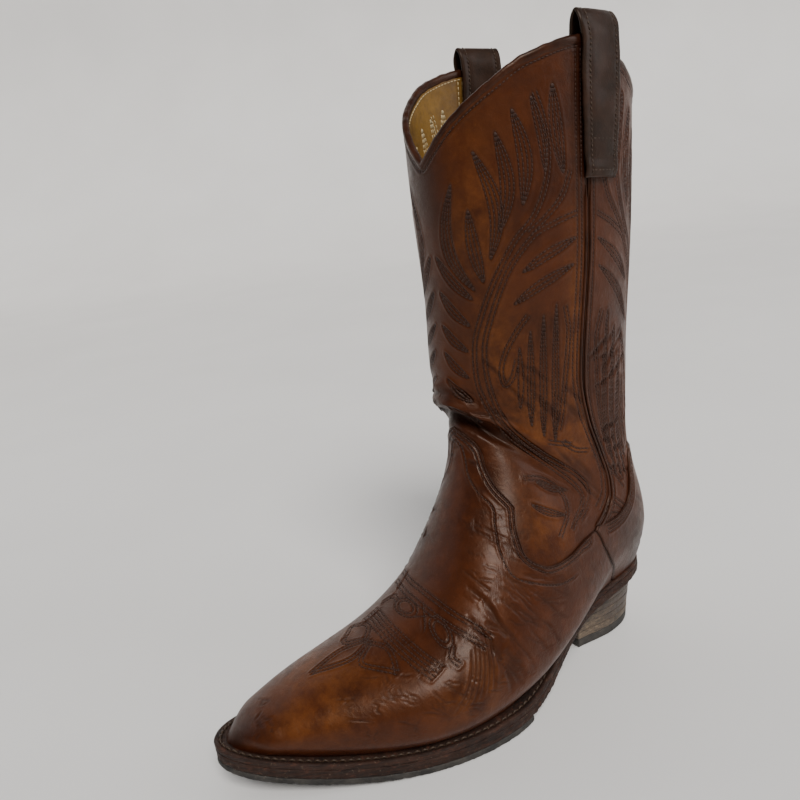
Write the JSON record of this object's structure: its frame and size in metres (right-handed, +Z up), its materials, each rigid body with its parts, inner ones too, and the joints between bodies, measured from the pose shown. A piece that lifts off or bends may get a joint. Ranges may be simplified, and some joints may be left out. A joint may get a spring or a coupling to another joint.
{
  "type": "cowboy boot",
  "caption": "Left western riding boot with a pointed toe, deep-dipped stitched shaft, pull straps, leather welt and sole, and an underslung stacked heel.",
  "frame": {"origin": "centre of the heel's tread face, on the ground", "axes": "+Z up along the shaft, toe toward -Y, outer (lateral) side toward +X"},
  "size_m": [0.1239, 0.315, 0.3802],
  "materials": {
    "upper_leather": "glossy, hand-burnished, worn",
    "strap_leather": "satin, worn",
    "lining_leather": "soft matt nap",
    "stiffener_board": "matt",
    "sole_leather": "satin, worn edge",
    "insole_leather": "matt",
    "heel_leather": "matt, stacked layers",
    "rubber": "matt",
    "cork": "matt",
    "peg_wood": "matt",
    "steel": "brushed",
    "thread": "waxed thread"
  },
  "bodies": {
    "root": {"vamp": "upper_leather", "heel_counter": "upper_leather", "shaft_front": "upper_leather", "shaft_back": "upper_leather", "side_piping_lateral": "upper_leather", "side_piping_medial": "upper_leather", "topline_binding_front": "upper_leather", "topline_binding_back": "upper_leather", "pull_strap_lateral": "strap_leather", "pull_strap_medial": "strap_leather", "shaft_front_lining": "lining_leather", "shaft_back_lining": "lining_leather", "vamp_lining": "lining_leather", "heel_lining": "lining_leather", "toe_puff": "stiffener_board", "counter_stiffener": "stiffener_board", "insole": "insole_leather", "sock_pad": "lining_leather", "shank": "steel", "shank_tacks": "steel", "bottom_filler": "cork", "welt": "sole_leather", "welt_stitching": "thread", "heel_rand": "sole_leather", "outsole": "sole_leather", "half_sole": "rubber", "waist_pegs": "peg_wood", "heel_cap": "rubber", "heel_nails": "steel", "heel_lift_1": "heel_leather", "heel_lift_2": "heel_leather", "heel_lift_3": "heel_leather", "heel_lift_4": "heel_leather", "heel_lift_5": "heel_leather", "heel_lift_6": "heel_leather"}
  },
  "joints": []
}
